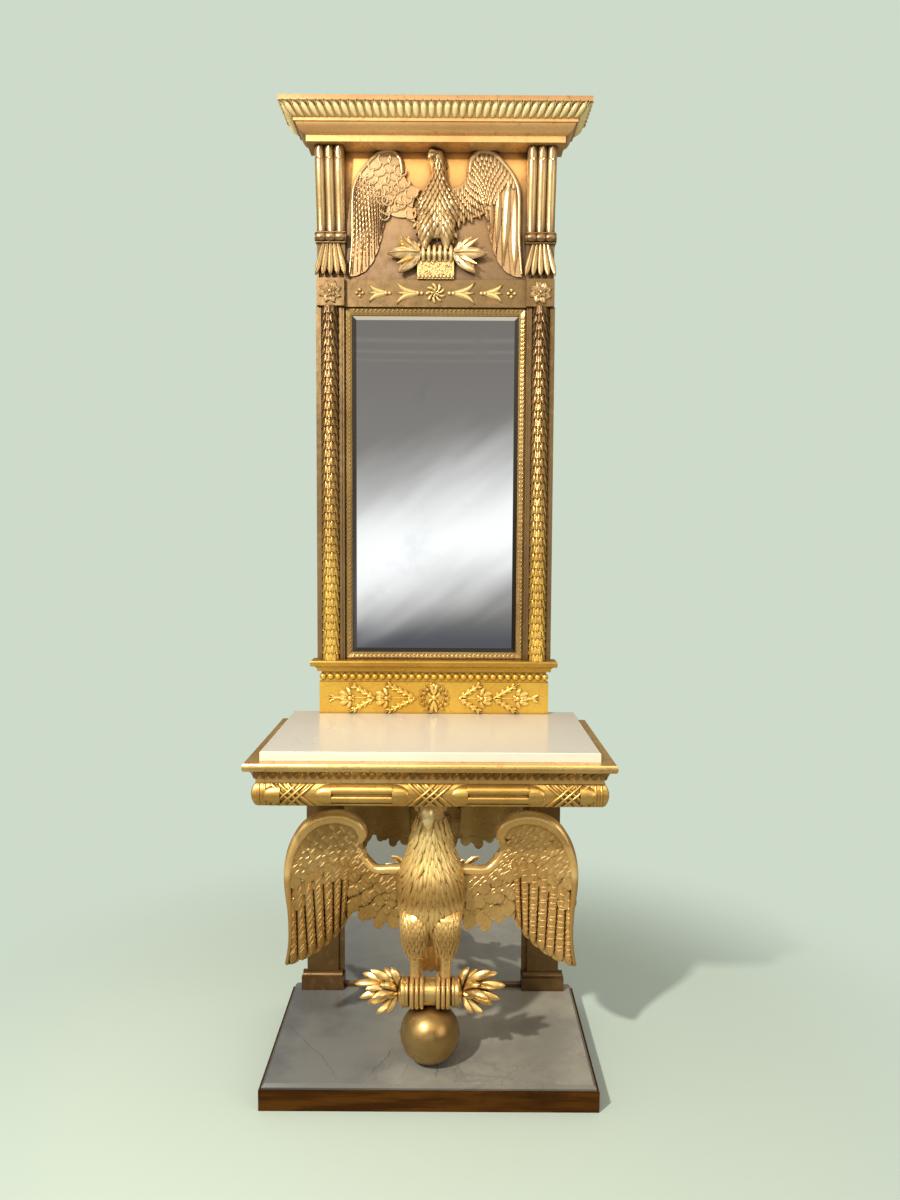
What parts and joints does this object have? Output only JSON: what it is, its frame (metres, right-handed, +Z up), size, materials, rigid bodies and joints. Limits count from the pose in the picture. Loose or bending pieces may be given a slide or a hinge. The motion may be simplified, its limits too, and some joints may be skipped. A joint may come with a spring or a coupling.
{
  "type": "pier table",
  "caption": "Empire pier table with a marble top on a spread-winged carved eagle and a mirror-backed plinth, with its tall framed pier mirror standing on the top.",
  "frame": {"origin": "middle of the overall box's underside, on the floor under the plinth", "axes": "+X to the right seen from the front, -Y to the front and +Y to the wall, +Z up"},
  "size_m": [0.87, 0.535, 2.5],
  "materials": {
    "gilt_wood": "water-gilded carved softwood, burnished on the high parts, rubbed brown in the hollows",
    "bronzed_gilt": "turned wood under dull bronze-gold leaf",
    "plinth_paint": "brown stained and worn softwood",
    "softwood": "bare sawn and planed softwood",
    "grey_marble": "honed grey marble with hairline cracks",
    "white_marble": "polished white marble with faint veins",
    "mirror_plate": "silvered glass",
    "iron": "forged bar, blackened"
  },
  "bodies": {
    "root": {"apron_back": "softwood", "apron_front": "gilt_wood", "apron_left": "gilt_wood", "apron_right": "gilt_wood", "ball": "bronzed_gilt", "base_beads": "gilt_wood", "base_board": "gilt_wood", "base_moulding": "gilt_wood", "base_ornament": "gilt_wood", "bracket_leaves": "gilt_wood", "bracket_left": "gilt_wood", "bracket_right": "gilt_wood", "centre_rod": "iron", "column_left": "gilt_wood", "column_right": "gilt_wood", "corner_blocks": "softwood", "cornice_front": "gilt_wood", "cornice_returns": "gilt_wood", "cross_rail": "softwood", "eagle_body": "gilt_wood", "eagle_head": "gilt_wood", "eagle_leg_left": "gilt_wood", "eagle_leg_right": "gilt_wood", "eagle_tail": "gilt_wood", "frieze_board": "gilt_wood", "frieze_ornament": "gilt_wood", "glass_slips": "gilt_wood", "lower_backboard": "softwood", "lower_glass": "mirror_plate", "lower_glass_beads": "gilt_wood", "marble_top": "white_marble", "mirror_backboard": "softwood", "mirror_glass": "mirror_plate", "plinth_back": "plinth_paint", "plinth_bearer": "softwood", "plinth_front": "plinth_paint", "plinth_sides": "plinth_paint", "plinth_slab": "grey_marble", "rear_feet": "gilt_wood", "rear_leg_left": "gilt_wood", "rear_leg_right": "gilt_wood", "relief_eagle": "gilt_wood", "relief_thunderbolt": "gilt_wood", "relief_wings": "gilt_wood", "rosette_block_left": "gilt_wood", "rosette_block_right": "gilt_wood", "rosettes": "gilt_wood", "stile_left": "gilt_wood", "stile_right": "gilt_wood", "tablet_panel": "gilt_wood", "thunderbolt_flames_left": "gilt_wood", "thunderbolt_flames_right": "gilt_wood", "thunderbolt_shaft": "gilt_wood", "top_moulding_front": "gilt_wood", "top_moulding_returns": "gilt_wood", "wing_dowels": "softwood", "wing_left": "gilt_wood", "wing_right": "gilt_wood"}
  },
  "joints": []
}
